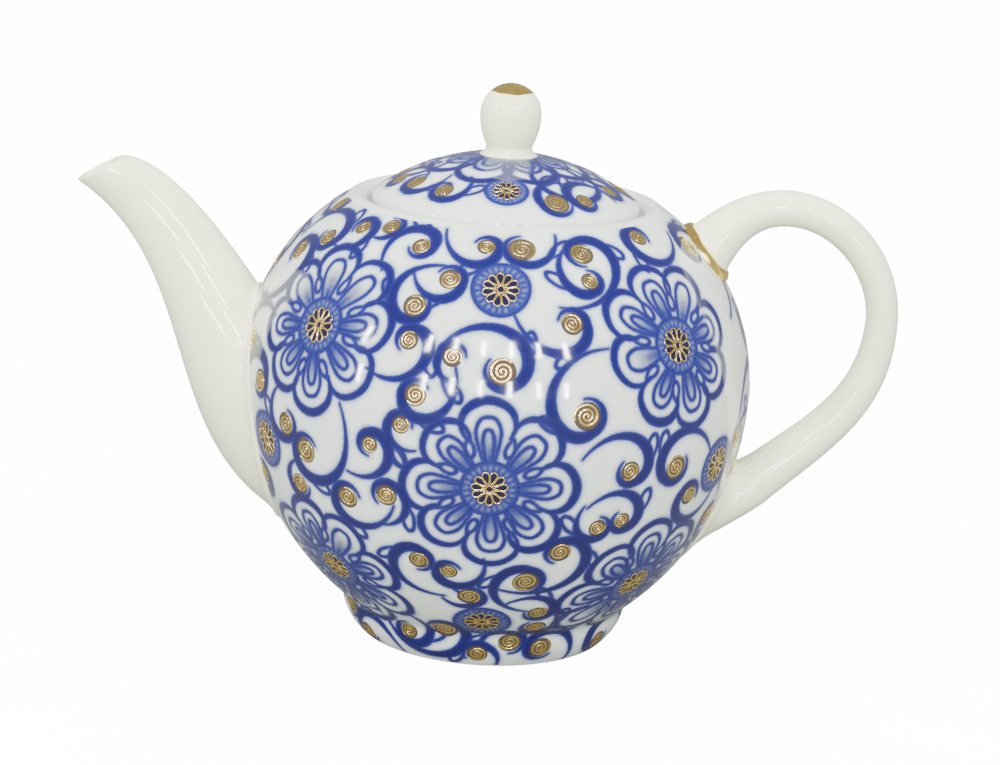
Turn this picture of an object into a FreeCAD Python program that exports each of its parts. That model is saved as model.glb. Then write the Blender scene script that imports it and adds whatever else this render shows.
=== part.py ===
import FreeCAD, Part
import math
import os

import Sketcher

# A porcelain teapot: a round pierced body on a low foot, a hollow swan spout, an ear-shaped
# handle with a gilded collar, and a domed lid with a ball knob that lifts out of its gallery.
# The origin is the centre of the foot's resting plane. +Z is up, the spout points to -X and
# the handle to +X. All sizes are in millimetres.

DRIVING_SIZES = {
    # the body's outside, as radii from the axis and heights above the table
    "foot_radius": 34.4,
    "foot_inner_radius": 31.2,
    "foot_recess": 3.5,
    "foot_bulge_radius": 14.0,
    "waist_radius": 39.2,
    "waist_height": 10.2,
    "belly_radius": 68.4,
    "belly_height": 70.8,
    "shoulder_radius": 42.0,
    "shoulder_height": 118.5,
    "wall": 3.2,
    "floor_thickness": 3.8,
    # the heights at which the pot is divided into bands
    "foot_band_top": 22.0,
    "bowl_band_top": 72.0,
    "shoulder_band_top": 104.0,
    # the lid's gallery
    "rim_rounding": 3.0,
    "gallery_radius": 36.8,
    "gallery_lip_height": 117.0,
    "gallery_height": 114.8,
    "gallery_ledge": 3.0,
    "mouth_radius": 31.6,
    # the strainer behind the spout
    "strainer_height": 54.0,
    "strainer_pitch": 7.0,
    "strainer_hole_radius": 2.0,
    # the lid
    "lid_radius": 35.6,
    "lid_edge_rounding": 1.8,
    "lid_edge_height": 118.4,
    "lid_apex": 131.6,
    "lid_dome_radius": 58.2,
    "skirt_radius": 30.8,
    "skirt_wall": 2.4,
    "skirt_bottom": 106.5,
    "vent_radius": 1.5,
    "vent_offset": 17.0,
    # the knob
    "knob_seat_radius": 7.9,
    "knob_neck_radius": 6.1,
    "knob_neck_height": 133.4,
    "knob_flare_rounding": 2.3,
    "knob_radius": 8.15,
    "knob_top": 150.0,
    # the spout, between its lower and its upper edge
    "spout_wall": 2.6,
    "spout_mouth_width": 7.0,
    "spout_root_width": 27.0,
    "spout_flare": 2.2,
    # the handle, along its middle line
    "handle_root_depth": 8.8,
    "handle_top_depth": 4.8,
    "handle_reach_depth": 4.3,
    "handle_tail_depth": 6.4,
    "handle_root_width": 12.0,
    "handle_grip_width": 6.4,
    "handle_tail_width": 9.0,
    "handle_foot_width": 12.8,
    "collar_proud": 1.1,
    "collar_height": 5.2,
}

# Points of the curved edges, as (x, z). Each curve is a Bezier curve. The spout has a lower
# and an upper edge. The handle has a middle line in three spans, and a foot, which is the
# line along the bulb that it ends on.
CURVE_POINTS = {
    "spout_low": [(-113.6, 117.6), (-90.7, 103.0), (-83.7, 76.5), (-86.4, 43.4), (-54.0, 28.5)],
    "spout_high": [(-101.2, 124.8), (-88.5, 124.2), (-70.6, 100.8), (-60.5, 84.0)],
    "handle_rise": [(51.0, 104.5), (57.0, 112.0), (63.0, 120.8), (75.0, 120.8)],
    "handle_bend": [(75.0, 120.8), (89.0, 120.8), (102.5, 107.5), (102.5, 91.5)],
    "handle_fall": [(102.5, 91.5), (102.5, 68.0), (87.0, 59.0), (71.0, 44.5)],
    "handle_foot": [(53.0, 24.5), (64.0, 53.0)],
}


class Size:
    """A number together with the spreadsheet expression that it stands for."""

    def __init__(self, number, text):
        self.number = number
        self.text = text

    def __add__(self, other):
        other = as_size(other)
        return Size(self.number + other.number, f"({self.text} + {other.text})")

    def __sub__(self, other):
        other = as_size(other)
        return Size(self.number - other.number, f"({self.text} - {other.text})")

    def __mul__(self, other):
        other = as_size(other)
        return Size(self.number * other.number, f"({self.text} * {other.text})")

    def __truediv__(self, other):
        other = as_size(other)
        return Size(self.number / other.number, f"({self.text} / {other.text})")

    __rmul__ = __mul__


def as_size(value):
    if isinstance(value, Size):
        return value
    return Size(value, f"{value:.6f}")


def square_root(value):
    return Size(math.sqrt(value.number), f"sqrt({value.text})")


def hypotenuse(first, second):
    return square_root(first * first + second * second)


def slope_angle(across, rise):
    degrees = math.degrees(math.atan2(rise.number, across.number))
    return Size(degrees, f"atan2({rise.text}; {across.text})")


def make_sheet(doc):
    """Write every driving size to the sheet and return them as Size values by name."""
    cells = dict(DRIVING_SIZES)
    for curve, points in CURVE_POINTS.items():
        for order, (x, z) in enumerate(points):
            cells[f"{curve}_{order}_x"] = x
            cells[f"{curve}_{order}_z"] = z
    sheet = doc.addObject("Spreadsheet::Sheet", "dims")
    for row, (name, value) in enumerate(cells.items(), start=1):
        sheet.set(f"A{row}", name)
        sheet.set(f"B{row}", str(value))
        sheet.setAlias(f"B{row}", name)
    doc.recompute()
    return {name: Size(value, f"dims.{name}") for name, value in cells.items()}


def bezier_point(sizes, curve, t):
    """The point of a named curve at t, from 0 to 1, as Size values."""
    order = len(CURVE_POINTS[curve]) - 1
    x = as_size(0.0)
    z = as_size(0.0)
    for index in range(order + 1):
        weight = math.comb(order, index) * t ** index * (1 - t) ** (order - index)
        x = x + weight * sizes[f"{curve}_{index}_x"]
        z = z + weight * sizes[f"{curve}_{index}_z"]
    return x, z


def bezier_direction(sizes, curve, t):
    """The direction in which a named curve runs at t, as Size values."""
    order = len(CURVE_POINTS[curve]) - 1
    x = as_size(0.0)
    z = as_size(0.0)
    for index in range(order):
        weight = math.comb(order - 1, index) * t ** index * (1 - t) ** (order - 1 - index)
        x = x + weight * (sizes[f"{curve}_{index + 1}_x"] - sizes[f"{curve}_{index}_x"])
        z = z + weight * (sizes[f"{curve}_{index + 1}_z"] - sizes[f"{curve}_{index}_z"])
    return x, z


def new_body(doc, name):
    body = doc.addObject("PartDesign::Body", name)
    body.Label = name
    body.Placement = FreeCAD.Placement()
    return body


def new_sketch(body, name, plane):
    sketch = body.newObject("Sketcher::SketchObject", name)
    support = next(item for item in body.Origin.OriginFeatures if item.Role == plane)
    sketch.AttachmentSupport = [(support, "")]
    sketch.MapMode = "FlatFace"
    return sketch


def bind(sketch, constraint, size):
    index = sketch.addConstraint(constraint)
    sketch.setExpression(f"Constraints[{index}]", size.text)


def arc_through(start, end, radius):
    """An arc from start to end; a positive radius has its centre on the left of the way."""
    chord = end - start
    middle = (start + end) * 0.5
    left = FreeCAD.Vector(-chord.y, chord.x, 0).normalize()
    inset = math.sqrt(max(radius * radius - chord.Length ** 2 / 4, 0.0))
    centre = middle + left * math.copysign(inset, radius)
    if radius > 0:
        first, last = start, end
    else:
        first, last = end, start
    angles = [math.atan2(p.y - centre.y, p.x - centre.x) for p in (first, last)]
    circle = Part.Circle(centre, FreeCAD.Vector(0, 0, 1), abs(radius))
    return Part.ArcOfCircle(circle, angles[0], angles[1])


def draw_outline(sketch, corners):
    """Draw a closed outline and bind every corner and radius to the sheet.

    A corner is (x, z, edge): edge is None for a straight run to the next corner, or the
    radius of the arc that runs to it, with a sign for the side that its centre is on.
    """
    points = [FreeCAD.Vector(x.number, z.number, 0) for x, z, edge in corners]
    ends = []
    for index, (x, z, edge) in enumerate(corners):
        start = points[index]
        end = points[(index + 1) % len(points)]
        if edge is None:
            sketch.addGeometry(Part.LineSegment(start, end), False)
            ends.append((1, 2))
        else:
            side, radius = edge
            sketch.addGeometry(arc_through(start, end, side * radius.number), False)
            ends.append((1, 2) if side > 0 else (2, 1))
    for index, (x, z, edge) in enumerate(corners):
        following = (index + 1) % len(corners)
        joint = ("Coincident", index, ends[index][1], following, ends[following][0])
        sketch.addConstraint(Sketcher.Constraint(*joint))
    for index, (x, z, edge) in enumerate(corners):
        corner = ends[index][0]
        for kind, axis, size in (("DistanceX", -2, x), ("DistanceY", -1, z)):
            if size.number == 0:
                on_axis = Sketcher.Constraint("PointOnObject", index, corner, axis)
                sketch.addConstraint(on_axis)
            else:
                distance = Sketcher.Constraint(kind, -1, 1, index, corner, size.number)
                bind(sketch, distance, size)
        if edge is not None:
            radius = edge[1]
            bind(sketch, Sketcher.Constraint("Radius", index, radius.number), radius)


def turn_outline(body, name, feature, corners):
    """Turn an outline round the Z axis, as a Revolution that adds or a Groove that cuts."""
    sketch = new_sketch(body, name + "_outline", "XZ_Plane")
    draw_outline(sketch, corners)
    turned = body.newObject(feature, name)
    turned.Profile = sketch
    turned.ReferenceAxis = (sketch, ["V_Axis"])
    turned.Angle = 360.0
    return turned


def ellipse_section(body, name, place, tilt, half_depth, half_width):
    """An ellipse across the XZ plane; half_depth lies along the tilt and half_width along Y."""
    sketch = new_sketch(body, name, "XY_Plane")
    sketch.AttachmentOffset = FreeCAD.Placement(
        FreeCAD.Vector(place[0].number, 0, place[1].number),
        FreeCAD.Rotation(FreeCAD.Vector(0, 1, 0), -tilt.number),
    )
    deep = half_depth.number >= half_width.number
    major, minor = (half_depth, half_width) if deep else (half_width, half_depth)
    centre = FreeCAD.Vector(0, 0, 0)
    major_end = FreeCAD.Vector(major.number, 0, 0) if deep else FreeCAD.Vector(0, major.number, 0)
    minor_end = FreeCAD.Vector(0, minor.number, 0) if deep else FreeCAD.Vector(-minor.number, 0, 0)
    sketch.addGeometry(Part.Ellipse(major_end, minor_end, centre), False)
    sketch.exposeInternalGeometry(0)
    sketch.addConstraint(Sketcher.Constraint("Coincident", 0, 3, -1, 1))
    sketch.addConstraint(Sketcher.Constraint("Horizontal" if deep else "Vertical", 1))
    bind(sketch, Sketcher.Constraint("Distance", 1, 2 * major.number), 2 * major)
    bind(sketch, Sketcher.Constraint("Distance", 2, 2 * minor.number), 2 * minor)
    sketch.setExpression("AttachmentOffset.Base.x", place[0].text)
    sketch.setExpression("AttachmentOffset.Base.z", place[1].text)
    sketch.setExpression("AttachmentOffset.Rotation.Angle", f"-1 * {tilt.text}")
    return sketch


def loft(body, name, feature, sections):
    lofted = body.newObject(feature, name)
    lofted.Profile = sections[0]
    lofted.Sections = sections[1:]
    lofted.Ruled = False
    return lofted


def tangent_arc_radius(across, rise):
    """The radius of an arc that starts square to `across` and ends `across` and `rise` away."""
    return (across * across + rise * rise) / (2.0 * across)


def bulb_arcs(sizes):
    """The two arcs of the bulb, below and above the belly: their radii and centre radii."""
    low_across = sizes["belly_radius"] - sizes["waist_radius"]
    low = tangent_arc_radius(low_across, sizes["belly_height"] - sizes["waist_height"])
    high_across = sizes["belly_radius"] - sizes["shoulder_radius"]
    high = tangent_arc_radius(high_across, sizes["shoulder_height"] - sizes["belly_height"])
    return low, high


def bulb_radius(sizes, arc, height, inset):
    """The bulb's radius at a height, on one of its arcs moved in by an inset."""
    reach = arc - inset
    rise = height - sizes["belly_height"]
    return sizes["belly_radius"] - arc + square_root(reach * reach - rise * rise)


def outer_bulb(sizes):
    """The corners of the bulb's outside, from the foot's edge up to the shoulder."""
    low, high = bulb_arcs(sizes)
    return [
        (sizes["foot_radius"], as_size(0.0), (1, sizes["foot_bulge_radius"])),
        (sizes["waist_radius"], sizes["waist_height"], (1, low)),
        (sizes["belly_radius"], sizes["belly_height"], (1, high)),
    ]


def make_whole_pot(doc, sizes):
    low, high = bulb_arcs(sizes)
    wall = sizes["wall"]
    ledge_bottom = sizes["gallery_height"] - sizes["gallery_ledge"]
    cavity_top = ledge_bottom - 0.5 * wall
    cavity_bottom = sizes["waist_height"] + wall
    floor_height = sizes["foot_recess"] + sizes["floor_thickness"]
    axis = as_size(0.0)
    corners = [
        (axis, sizes["foot_recess"], None),
        (sizes["foot_inner_radius"] - 1.0, sizes["foot_recess"], None),
        (sizes["foot_inner_radius"], axis, None),
    ]
    corners += outer_bulb(sizes)
    corners += [
        (sizes["shoulder_radius"], sizes["shoulder_height"], (1, sizes["rim_rounding"])),
        (sizes["gallery_radius"], sizes["gallery_lip_height"], None),
        (sizes["gallery_radius"], sizes["gallery_height"], None),
        (sizes["mouth_radius"], sizes["gallery_height"], None),
        (sizes["mouth_radius"], ledge_bottom, None),
        (bulb_radius(sizes, high, cavity_top, wall), cavity_top, (-1, high - wall)),
        (sizes["belly_radius"] - wall, sizes["belly_height"], (-1, low - wall)),
        (bulb_radius(sizes, low, cavity_bottom, wall), cavity_bottom, None),
        (sizes["foot_inner_radius"], floor_height, None),
        (axis, floor_height, None),
    ]
    body = new_body(doc, "whole_pot")
    turn_outline(body, "bulb", "PartDesign::Revolution", corners)
    pierce_strainer(body, sizes)
    return body


def pierce_strainer(body, sizes):
    """A centre hole, a ring of six and a ring of twelve, through the wall behind the spout."""
    sketch = new_sketch(body, "strainer_holes", "YZ_Plane")
    places = [(0.0, 0.0)]
    for ring, count in ((1, 6), (2, 12)):
        for step in range(count):
            turn = 2 * math.pi * step / count
            places.append((ring * math.cos(turn), ring * math.sin(turn)))
    radius = sizes["strainer_hole_radius"]
    for index, (across, up) in enumerate(places):
        y = round(across, 6) * sizes["strainer_pitch"]
        z = sizes["strainer_height"] + round(up, 6) * sizes["strainer_pitch"]
        centre = FreeCAD.Vector(y.number, z.number, 0)
        circle = Part.Circle(centre, FreeCAD.Vector(0, 0, 1), radius.number)
        sketch.addGeometry(circle, False)
        bind(sketch, Sketcher.Constraint("Radius", index, radius.number), radius)
        bind(sketch, Sketcher.Constraint("DistanceY", -1, 1, index, 3, z.number), z)
        if y.number == 0:
            sketch.addConstraint(Sketcher.Constraint("PointOnObject", index, 3, -2))
        else:
            bind(sketch, Sketcher.Constraint("DistanceX", -1, 1, index, 3, y.number), y)
    holes = body.newObject("PartDesign::Pocket", "strainer")
    holes.Profile = sketch
    holes.Type = "Length"
    holes.Reversed = False
    holes.setExpression("Length", f"{sizes['belly_radius'].text} + {sizes['wall'].text}")


def make_pot_bands(doc, sizes, whole):
    """The pot's foot, bowl, shoulder and gallery, each a ring that sits on the one below."""
    levels = [as_size(0.0)]
    levels += [sizes[f"{band}_band_top"] for band in ("foot", "bowl", "shoulder")]
    levels.append(sizes["shoulder_height"] + sizes["wall"])
    bands = []
    for index, name in enumerate(("pot_foot", "pot_bowl", "pot_shoulder", "pot_gallery")):
        height = levels[index + 1] - levels[index]
        slab = doc.addObject("Part::Cylinder", f"{name}_slab")
        slab.setExpression("Radius", (sizes["belly_radius"] + sizes["wall"]).text)
        slab.setExpression("Height", height.text)
        slab.setExpression("Placement.Base.z", levels[index].text)
        band = doc.addObject("Part::Common", name)
        band.Label = name
        band.Base = whole
        band.Tool = slab
        band.Placement = FreeCAD.Placement()
        bands.append(band)
    return bands


def chord_section(body, name, low, high, inset, half_width):
    """An ellipse whose depth runs from a low point to a high point, less an inset all round."""
    across = high[0] - low[0]
    rise = high[1] - low[1]
    place = ((low[0] + high[0]) * 0.5, (low[1] + high[1]) * 0.5)
    half_depth = hypotenuse(across, rise) * 0.5 - inset
    tilt = slope_angle(across, rise)
    return ellipse_section(body, name, place, tilt, half_depth, half_width - inset)


def spout_section(body, sizes, label, t, inset):
    low = bezier_point(sizes, "spout_low", t)
    high = bezier_point(sizes, "spout_high", t)
    growth = Size(t ** sizes["spout_flare"].number, f"({t:.6f} ^ dims.spout_flare)")
    spread = (sizes["spout_root_width"] - sizes["spout_mouth_width"]) * growth
    half_width = sizes["spout_mouth_width"] + spread
    return chord_section(body, f"{label}_{round(t * 100)}", low, high, inset, half_width)


def cut_away_bulb(body, sizes):
    """Cut a body back to the bulb's outside, so that it sits on it face to face."""
    axis = as_size(0.0)
    corners = [(axis, axis, None)] + outer_bulb(sizes)
    corners.append((sizes["shoulder_radius"], sizes["shoulder_height"], None))
    corners.append((axis, sizes["shoulder_height"], None))
    turn_outline(body, body.Name + "_seat", "PartDesign::Groove", corners)


def make_spout(doc, sizes):
    body = new_body(doc, "spout")
    stations = (0.0, 0.15, 0.35, 0.55, 0.75, 1.0)
    nothing = as_size(0.0)
    outside = [spout_section(body, sizes, "spout_outside", t, nothing) for t in stations]
    loft(body, "spout_shell", "PartDesign::AdditiveLoft", outside)
    wall = sizes["spout_wall"]
    inside = [spout_section(body, sizes, "spout_inside", t, wall) for t in stations]
    loft(body, "spout_channel", "PartDesign::SubtractiveLoft", inside)
    cut_away_bulb(body, sizes)
    return body


def swell(start, end, t, power):
    """A size that runs from start to end, slowly at first where power is above one."""
    return start + (end - start) * round(t ** power, 6)


def handle_stations(sizes):
    """Where the handle's sections are, as (curve, t, half depth, half width)."""
    stations = []
    for t in (0.0, 0.35, 0.7):
        depth = swell(sizes["handle_top_depth"], sizes["handle_root_depth"], 1 - t, 2)
        width = swell(sizes["handle_grip_width"], sizes["handle_root_width"], 1 - t, 2)
        stations.append(("handle_rise", t, depth, width))
    for t in (0.0, 0.33, 0.67):
        depth = swell(sizes["handle_top_depth"], sizes["handle_reach_depth"], t, 1)
        stations.append(("handle_bend", t, depth, sizes["handle_grip_width"]))
    for t in (0.0, 0.33, 0.67, 1.0):
        depth = swell(sizes["handle_reach_depth"], sizes["handle_tail_depth"], t, 1)
        width = swell(sizes["handle_grip_width"], sizes["handle_tail_width"], t, 3)
        stations.append(("handle_fall", t, depth, width))
    return stations


def handle_section(body, sizes, index, station):
    curve, t, half_depth, half_width = station
    place = bezier_point(sizes, curve, t)
    along = bezier_direction(sizes, curve, t)
    across = slope_angle(as_size(0.0) - along[1], along[0])
    return ellipse_section(body, f"handle_section_{index}", place, across, half_depth, half_width)


def make_handle(doc, sizes):
    body = new_body(doc, "handle")
    stations = handle_stations(sizes)
    sections = [handle_section(body, sizes, i, item) for i, item in enumerate(stations)]
    low = bezier_point(sizes, "handle_foot", 0.0)
    high = bezier_point(sizes, "handle_foot", 1.0)
    width = sizes["handle_foot_width"]
    sections.append(chord_section(body, "handle_foot", low, high, as_size(0.0), width))
    loft(body, "handle_bar", "PartDesign::AdditiveLoft", sections)
    cut_away_bulb(body, sizes)
    return body


def make_handle_collar(doc, sizes, handle):
    """A bead round the handle's upper root, where it meets the shoulder."""
    blank = new_body(doc, "collar_blank")
    start = bezier_point(sizes, "handle_rise", 0.0)
    along = bezier_direction(sizes, "handle_rise", 0.0)
    length = hypotenuse(along[0], along[1])
    tilt = slope_angle(as_size(0.0) - along[1], along[0])
    depth = sizes["handle_root_depth"] + sizes["collar_proud"]
    width = sizes["handle_root_width"] + sizes["collar_proud"]
    end = [
        start[axis] + sizes["collar_height"] * along[axis] / length for axis in (0, 1)
    ]
    sections = [
        ellipse_section(blank, "collar_inner_end", start, tilt, depth, width),
        ellipse_section(blank, "collar_outer_end", end, tilt, depth - 0.6, width - 1.0),
    ]
    loft(blank, "collar_bead", "PartDesign::AdditiveLoft", sections)
    cut_away_bulb(blank, sizes)
    collar = doc.addObject("Part::Cut", "handle_collar")
    collar.Label = "handle_collar"
    collar.Base = blank
    collar.Tool = handle
    collar.Placement = FreeCAD.Placement()
    return collar


def dome_height(sizes, radius, inset):
    """The height of the lid's dome, moved in by an inset, at a radius from the axis."""
    reach = sizes["lid_dome_radius"] - inset
    centre = sizes["lid_apex"] - sizes["lid_dome_radius"]
    return centre + square_root(reach * reach - radius * radius)


def make_lid(doc, sizes):
    axis = as_size(0.0)
    seat = dome_height(sizes, sizes["knob_seat_radius"], 0.0)
    edge_radius = sizes["lid_radius"] - sizes["lid_edge_rounding"] * 0.7
    skirt_inner = sizes["skirt_radius"] - sizes["skirt_wall"]
    wall = sizes["wall"]
    outside = (-1, sizes["lid_dome_radius"])
    corners = [
        (axis, dome_height(sizes, axis, wall), (-1, sizes["lid_dome_radius"] - wall)),
        (skirt_inner, dome_height(sizes, skirt_inner, wall), None),
        (skirt_inner, sizes["skirt_bottom"], None),
        (sizes["skirt_radius"], sizes["skirt_bottom"], None),
        (sizes["skirt_radius"], sizes["gallery_height"], None),
        (sizes["lid_radius"], sizes["gallery_height"], None),
        (sizes["lid_radius"], sizes["lid_edge_height"], (1, sizes["lid_edge_rounding"])),
        (edge_radius, dome_height(sizes, edge_radius, 0.0), (1, sizes["lid_dome_radius"])),
        (sizes["knob_seat_radius"], seat, None),
        (axis, seat, None),
    ]
    body = new_body(doc, "lid")
    turn_outline(body, "lid_dome", "PartDesign::Revolution", corners)
    vent = new_sketch(body, "vent_outline", "XY_Plane")
    radius = sizes["vent_radius"]
    offset = sizes["vent_offset"]
    centre = FreeCAD.Vector(0, offset.number, 0)
    vent.addGeometry(Part.Circle(centre, FreeCAD.Vector(0, 0, 1), radius.number), False)
    vent.addConstraint(Sketcher.Constraint("PointOnObject", 0, 3, -2))
    bind(vent, Sketcher.Constraint("DistanceY", -1, 1, 0, 3, offset.number), offset)
    bind(vent, Sketcher.Constraint("Radius", 0, radius.number), radius)
    hole = body.newObject("PartDesign::Pocket", "vent")
    hole.Profile = vent
    hole.Type = "ThroughAll"
    hole.Reversed = True
    return body


def make_lid_knob(doc, sizes):
    axis = as_size(0.0)
    radius = sizes["knob_radius"]
    centre = sizes["knob_top"] - radius
    seat = dome_height(sizes, sizes["knob_seat_radius"], 0.0)
    neck_across = radius - sizes["knob_neck_radius"]
    taper = tangent_arc_radius(neck_across, centre - sizes["knob_neck_height"])
    flare = (-1, sizes["knob_flare_rounding"])
    corners = [
        (axis, seat, None),
        (sizes["knob_seat_radius"], seat, flare),
        (sizes["knob_neck_radius"], sizes["knob_neck_height"], (1, taper)),
        (radius, centre, (1, radius)),
        (axis, sizes["knob_top"], None),
    ]
    body = new_body(doc, "lid_knob")
    turn_outline(body, "knob", "PartDesign::Revolution", corners)
    return body


def check(doc, nodes):
    for item in doc.Objects:
        if "Invalid" in item.State or "Error" in item.State:
            raise RuntimeError(f"{item.Name} failed: {item.State}")
    for node in nodes:
        if node.Shape.isNull() or not node.Shape.isValid():
            raise RuntimeError(f"{node.Label} has no valid shape")


def check_cuts(doc):
    """Each cut has to take material away: compare a body's volume before and after it."""
    for feature in doc.Objects:
        if feature.TypeId not in ("PartDesign::Pocket", "PartDesign::Groove"):
            continue
        if feature.Shape.Volume >= feature.BaseFeature.Shape.Volume - 1.0:
            raise RuntimeError(f"{feature.Name} cuts nothing")


def main():
    doc = FreeCAD.newDocument("teapot")
    sizes = make_sheet(doc)
    handle = make_handle(doc, sizes)
    nodes = make_pot_bands(doc, sizes, make_whole_pot(doc, sizes))
    nodes += [
        make_spout(doc, sizes),
        handle,
        make_handle_collar(doc, sizes, handle),
        make_lid(doc, sizes),
        make_lid_knob(doc, sizes),
    ]
    doc.recompute()
    check(doc, nodes)
    check_cuts(doc)
    os.makedirs("parts", exist_ok=True)
    for node in nodes:
        print(node.Label, "volume", round(node.Shape.Volume), "mm3, solids", len(node.Shape.Solids))
        node.Shape.exportStep(f"parts/{node.Label}.step")


main()
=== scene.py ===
import math
import random

import bpy
import numpy as np
from mathutils import Matrix, Vector


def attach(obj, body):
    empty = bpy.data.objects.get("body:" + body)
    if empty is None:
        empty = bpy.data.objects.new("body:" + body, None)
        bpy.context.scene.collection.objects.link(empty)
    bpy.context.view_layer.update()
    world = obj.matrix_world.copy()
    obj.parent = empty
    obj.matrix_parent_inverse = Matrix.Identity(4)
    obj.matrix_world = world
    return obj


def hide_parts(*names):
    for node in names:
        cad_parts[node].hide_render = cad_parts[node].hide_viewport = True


# Looks for the porcelain teapot. All shapes are worked out in millimetres, in the frame's axes,
# and scaled to metres when a mesh is made. Azimuth is in degrees, 0 at the front (-Y) and
# growing towards the handle (+X). "Along" is the arc length up the outside, from the foot.

MM = 0.001
SPREAD = 1.9        # how far round a brush stroke the paint layers still hold its distance, mm
STEP = 0.43         # spacing of the painted surface's rows, mm
COLUMNS = 1000      # columns of the painted surface round the whole pot
BRUSH = 1.22        # how much broader than written every stroke is laid
RNG = random.Random(11)


# ---- curves and outlines

def arc(start, end, radius, step=0.2):
    """Points of an arc from start to end; a positive radius has its centre on the left."""
    start, end = np.array(start, float), np.array(end, float)
    chord = end - start
    length = np.hypot(*chord)
    left = np.array([-chord[1], chord[0]]) / length
    inset = math.sqrt(max(radius * radius - length * length / 4, 0.0))
    centre = (start + end) / 2 + left * math.copysign(inset, radius)
    first = math.atan2(*(start - centre)[::-1])
    last = math.atan2(*(end - centre)[::-1])
    sweep = (last - first) % (2 * math.pi)
    if radius < 0:
        sweep -= 2 * math.pi
    count = max(3, int(abs(sweep * radius) / step))
    turn = first + sweep * np.linspace(0, 1, count)
    return centre + abs(radius) * np.stack([np.cos(turn), np.sin(turn)], 1)


def along(points):
    return np.concatenate([[0.0], np.cumsum(np.hypot(*np.diff(points, axis=0).T))])


def resample(points, step):
    """The same line with even spacing of about step."""
    length = along(points)
    places = np.linspace(0, length[-1], max(2, int(round(length[-1] / step)) + 1))
    return np.stack([np.interp(places, length, points[:, k]) for k in (0, 1)], 1)


def soften(points, sigma, spacing):
    """Round off the kinks of an evenly spaced line, holding both of its ends."""
    reach = int(3 * sigma / spacing)
    weights = np.exp(-0.5 * (np.arange(-reach, reach + 1) * spacing / sigma) ** 2)
    weights /= weights.sum()
    first, last = points[0], points[-1]
    head = 2 * first - points[reach:0:-1]
    tail = 2 * last - points[-2:-reach - 2:-1]
    padded = np.concatenate([head, points, tail])
    return np.stack([np.convolve(padded[:, k], weights, "valid") for k in (0, 1)], 1)


def rounded(corners, radius, turns=4):
    """An open line through corners, with each inner corner cut by a small curve."""
    corners = [np.array(c, float) for c in corners]
    points = [corners[0]]
    for before, corner, after in zip(corners, corners[1:], corners[2:]):
        reach = min(radius, 0.45 * np.hypot(*(corner - before)), 0.45 * np.hypot(*(after - corner)))
        start = corner + (before - corner) / np.hypot(*(before - corner)) * reach
        end = corner + (after - corner) / np.hypot(*(after - corner)) * reach
        for t in np.linspace(0, 1, turns):
            points.append((1 - t) ** 2 * start + 2 * t * (1 - t) * corner + t * t * end)
    points.append(corners[-1])
    return np.array(points)


def smooth_line(points, steps=8):
    """A Catmull-Rom curve through points."""
    p = np.array(points, float)
    p = np.concatenate([[2 * p[0] - p[1]], p, [2 * p[-1] - p[-2]]])
    t = np.linspace(0, 1, steps, endpoint=False)[:, None]
    spans = [
        0.5 * (2 * b + (c - a) * t + (2 * a - 5 * b + 4 * c - d) * t ** 2
               + (3 * b - a - 3 * c + d) * t ** 3)
        for a, b, c, d in zip(p, p[1:], p[2:], p[3:])
    ]
    return np.concatenate(spans + [p[-2:-1]])


def bezier(points, t):
    """Places and directions on a Bezier curve at every t."""
    points = np.array(points, float)
    t = np.asarray(t, float)[..., None]
    order = len(points) - 1
    place = sum(
        math.comb(order, k) * t ** k * (1 - t) ** (order - k) * points[k] for k in range(order + 1)
    )
    steps = order * np.diff(points, axis=0)
    going = sum(
        math.comb(order - 1, k) * t ** k * (1 - t) ** (order - 1 - k) * steps[k]
        for k in range(order)
    )
    return place, going


# ---- the pot's outside

BASE, FOOT, RIM = (34.4, 0.0), (39.2, 10.2), (42.0, 118.5)   # (radius, height) on the outside
BELLY_RADIUS, BELLY = 68.4, 70.8                              # the widest radius and its height
WALL = 3.2
FOOT_CURVE = 14.0


def belly_arc(point):
    """Centre's radius and own radius of the arc that is upright at the belly and meets a point."""
    inset, rise = BELLY_RADIUS - point[0], BELLY - point[1]
    radius = (inset ** 2 + rise ** 2) / (2 * inset)
    return BELLY_RADIUS - radius, radius


LOW_CENTRE, LOW_RADIUS = belly_arc(FOOT)
HIGH_CENTRE, HIGH_RADIUS = belly_arc(RIM)

OUTSIDE = np.concatenate([
    arc(BASE, FOOT, FOOT_CURVE)[:-1],
    arc(FOOT, (BELLY_RADIUS, BELLY), LOW_RADIUS)[:-1],
    arc((BELLY_RADIUS, BELLY), RIM, HIGH_RADIUS),
])
OUTSIDE = resample(soften(resample(OUTSIDE, 0.1), 1.6, 0.1), STEP)
OUTSIDE_ALONG = along(OUTSIDE)
_slope = np.gradient(OUTSIDE, axis=0)
_slope /= np.hypot(*_slope.T)[:, None]
OUTSIDE_NORMAL = np.stack([_slope[:, 1], -_slope[:, 0]], 1)


def wall_at(reach):
    """Radius and height of the outside, and its outward direction (out, up), at places along it."""
    return [np.interp(reach, OUTSIDE_ALONG, column) for column in (*OUTSIDE.T, *OUTSIDE_NORMAL.T)]


def bulb_gap(x, y, z):
    """How far points are outside the pot's bulb, negative inside it."""
    radius = np.hypot(x, y)
    low = np.hypot(radius - LOW_CENTRE, z - BELLY) - LOW_RADIUS
    high = np.hypot(radius - HIGH_CENTRE, z - BELLY) - HIGH_RADIUS
    return np.where(z < BELLY, low, high)


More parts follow.
